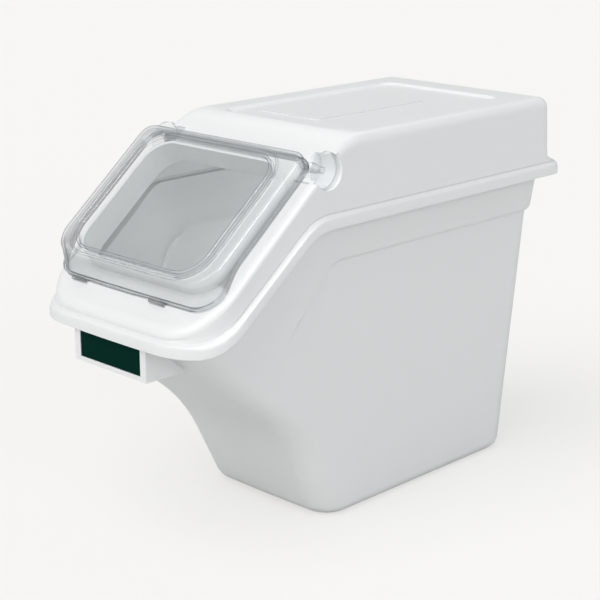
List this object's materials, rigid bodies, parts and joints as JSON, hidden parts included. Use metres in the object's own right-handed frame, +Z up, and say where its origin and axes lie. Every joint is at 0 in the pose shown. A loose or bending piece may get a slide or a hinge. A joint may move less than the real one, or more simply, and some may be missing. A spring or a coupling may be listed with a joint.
{
  "type": "ingredient bin with flip lid",
  "caption": "Tall plastic ingredient bin with a sloped scoop front, a lift-off hood and a clear flip-up door over its mouth.",
  "frame": {"origin": "middle of the footprint on the floor, under the centre of the overall box", "axes": "+Z up, the door and the label face -Y, X across the width"},
  "size_m": [0.27, 0.5845, 0.4295],
  "materials": {
    "container_plastic": "satin white",
    "label": "satin dark green",
    "hood_plastic": "satin white",
    "clear_plastic": "clear gloss"
  },
  "bodies": {
    "container": {"container": "container_plastic", "label_card": "label"},
    "hood": {"hood": "hood_plastic"},
    "flip_door": {"flip_door": "clear_plastic"}
  },
  "joints": [
    {"name": "hood_lift", "type": "slide", "parent": "container", "child": "hood", "axis": [0, 0, 1], "range_m": [0, 0.12]},
    {"name": "door_flip", "type": "hinge", "parent": "hood", "child": "flip_door", "pos_m": [0, -0.10325, 0.398], "axis": [-1, 0, 0], "range_deg": [0, 84]}
  ]
}
